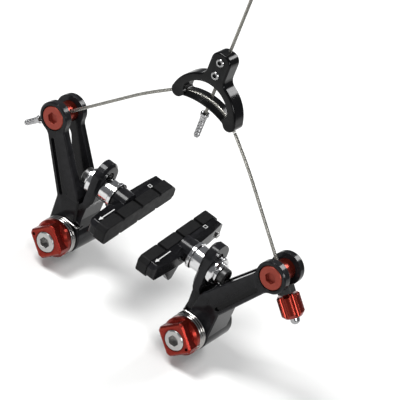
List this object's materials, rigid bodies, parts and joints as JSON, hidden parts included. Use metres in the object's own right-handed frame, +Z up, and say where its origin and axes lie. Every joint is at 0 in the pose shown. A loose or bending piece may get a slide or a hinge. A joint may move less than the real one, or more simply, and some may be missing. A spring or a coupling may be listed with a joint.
{
  "type": "cantilever brake",
  "caption": "Sprung cantilever rim brake with threaded pad posts, coil-tensioned arms, straddle cable, arched hanger and inline barrel adjuster.",
  "frame": {"origin": "midway between the two pivot axes, in the plane where the pivot bushes seat on the frame's bosses", "axes": "+X across the wheel to the rider's left when fitted in front, +Y rearward into the bosses along the pivot axes, +Z up from the pivots to the cable hanger"},
  "size_m": [0.1678, 0.0543, 0.1768],
  "materials": {
    "black_forging": "gloss black anodised and polished",
    "black_hanger": "gloss black",
    "red_metal": "red anodised",
    "pad_rubber": "matt moulded",
    "black_holder": "satin black",
    "black_steel": "black finished steel",
    "cable_steel": "stranded stainless steel",
    "end_cap_metal": "crimped bare alloy",
    "spring_steel": "drawn steel wire",
    "washer_steel": "turned and polished",
    "bolt_steel": "plated steel"
  },
  "bodies": {
    "mount": {"right_pivot_bush": "bolt_steel", "left_pivot_bush": "bolt_steel", "right_mount_bolt": "bolt_steel", "left_mount_bolt": "bolt_steel", "right_tension_cap": "red_metal", "left_tension_cap": "red_metal", "right_spring": "spring_steel", "left_spring": "spring_steel"},
    "left_arm": {"left_arm": "black_forging"},
    "right_arm": {"right_arm": "black_forging"},
    "left_anchor": {"left_anchor_barrel": "red_metal", "left_anchor_bolt": "red_metal"},
    "right_anchor": {"right_anchor_barrel": "red_metal", "right_anchor_bolt": "red_metal", "adjuster_lock_nut": "black_steel"},
    "adjuster": {"barrel_adjuster": "red_metal"},
    "hanger": {"hanger_body": "black_hanger", "hanger_screws": "bolt_steel", "main_cable": "cable_steel", "main_cable_tip": "end_cap_metal", "main_cable_head": "end_cap_metal", "straddle_cable_middle": "cable_steel"},
    "left_run": {"straddle_cable_left": "cable_steel", "straddle_cable_tip": "end_cap_metal"},
    "right_run": {"straddle_cable_right": "cable_steel", "straddle_cable_nipple": "end_cap_metal"},
    "left_washers": {"left_inner_dome_washer": "washer_steel", "left_inner_cup_washer": "washer_steel", "left_outer_cup_washer": "washer_steel", "left_outer_dome_washer": "washer_steel"},
    "left_pad": {"left_pad_holder": "black_holder", "left_pad_rubber": "pad_rubber", "left_pad_retainer": "bolt_steel", "left_pad_post": "bolt_steel", "left_pad_nut": "black_steel"},
    "right_washers": {"right_inner_dome_washer": "washer_steel", "right_inner_cup_washer": "washer_steel", "right_outer_cup_washer": "washer_steel", "right_outer_dome_washer": "washer_steel"},
    "right_pad": {"right_pad_holder": "black_holder", "right_pad_rubber": "pad_rubber", "right_pad_retainer": "bolt_steel", "right_pad_post": "bolt_steel", "right_pad_nut": "black_steel"}
  },
  "joints": [
    {"name": "left_arm_pivot", "type": "hinge", "parent": "mount", "child": "left_arm", "pos_m": [-0.04, 0, 0], "axis": [0, 1, 0], "range_deg": [0, 9], "stiffness_Nm_per_rad": 0.4, "springref_deg": -57.3, "deforming": ["left_spring"]},
    {"name": "right_arm_pivot", "type": "hinge", "parent": "mount", "child": "right_arm", "pos_m": [0.04, 0, 0], "axis": [0, -1, 0], "range_deg": [0, 9.01], "stiffness_Nm_per_rad": 0.4, "springref_deg": -57.3, "deforming": ["right_spring"]},
    {"name": "hanger_lift", "type": "slide", "parent": "mount", "child": "hanger", "axis": [0, 0, 1], "range_m": [0, 0.01078]},
    {"name": "left_cable_swing", "type": "hinge", "parent": "hanger", "child": "left_run", "pos_m": [-0.01789, -0.0112, 0.09704], "axis": [0, -1, 0], "range_deg": [0, 9.73]},
    {"name": "left_anchor_turn", "type": "hinge", "parent": "left_arm", "child": "left_anchor", "pos_m": [-0.0656, -0.013, 0.0515], "axis": [0, -1, 0], "range_deg": [0, 18.73]},
    {"name": "right_cable_swing", "type": "hinge", "parent": "hanger", "child": "right_run", "pos_m": [0.01789, -0.0112, 0.09704], "axis": [0, 1, 0], "range_deg": [0, 9.73]},
    {"name": "right_anchor_turn", "type": "hinge", "parent": "right_arm", "child": "right_anchor", "pos_m": [0.0656, -0.013, 0.0515], "axis": [0, 1, 0], "range_deg": [0, 18.73]},
    {"name": "adjuster_turn", "type": "hinge", "parent": "right_anchor", "child": "adjuster", "pos_m": [0.0656, -0.013, 0.0515], "axis": [0.7064, -0.0236, -0.7074], "continuous": true},
    {"name": "left_pad_height", "type": "slide", "parent": "left_arm", "child": "left_washers", "axis": [0, 0, 1], "range_m": [0, 0.0056]},
    {"name": "left_pad_tilt", "type": "hinge", "parent": "left_washers", "child": "left_pad", "pos_m": [-0.0333, -0.0132, 0.031], "axis": [1, 0, 0], "range_deg": [-12, 12]},
    {"name": "right_pad_height", "type": "slide", "parent": "right_arm", "child": "right_washers", "axis": [0, 0, 1], "range_m": [0, 0.0056]},
    {"name": "right_pad_tilt", "type": "hinge", "parent": "right_washers", "child": "right_pad", "pos_m": [0.0333, -0.0132, 0.031], "axis": [1, 0, 0], "range_deg": [-12, 12]}
  ],
  "couplings": [
    {"joint": "right_arm_pivot", "follows": "left_arm_pivot", "ratio": 1},
    {"joint": "hanger_lift", "follows": "left_arm_pivot", "m_per_rad": 0.068569},
    {"joint": "left_cable_swing", "follows": "left_arm_pivot", "ratio": 1.0797},
    {"joint": "left_anchor_turn", "follows": "left_arm_pivot", "ratio": 2.0797},
    {"joint": "right_cable_swing", "follows": "left_arm_pivot", "ratio": 1.0797},
    {"joint": "right_anchor_turn", "follows": "left_arm_pivot", "ratio": 2.0797}
  ]
}
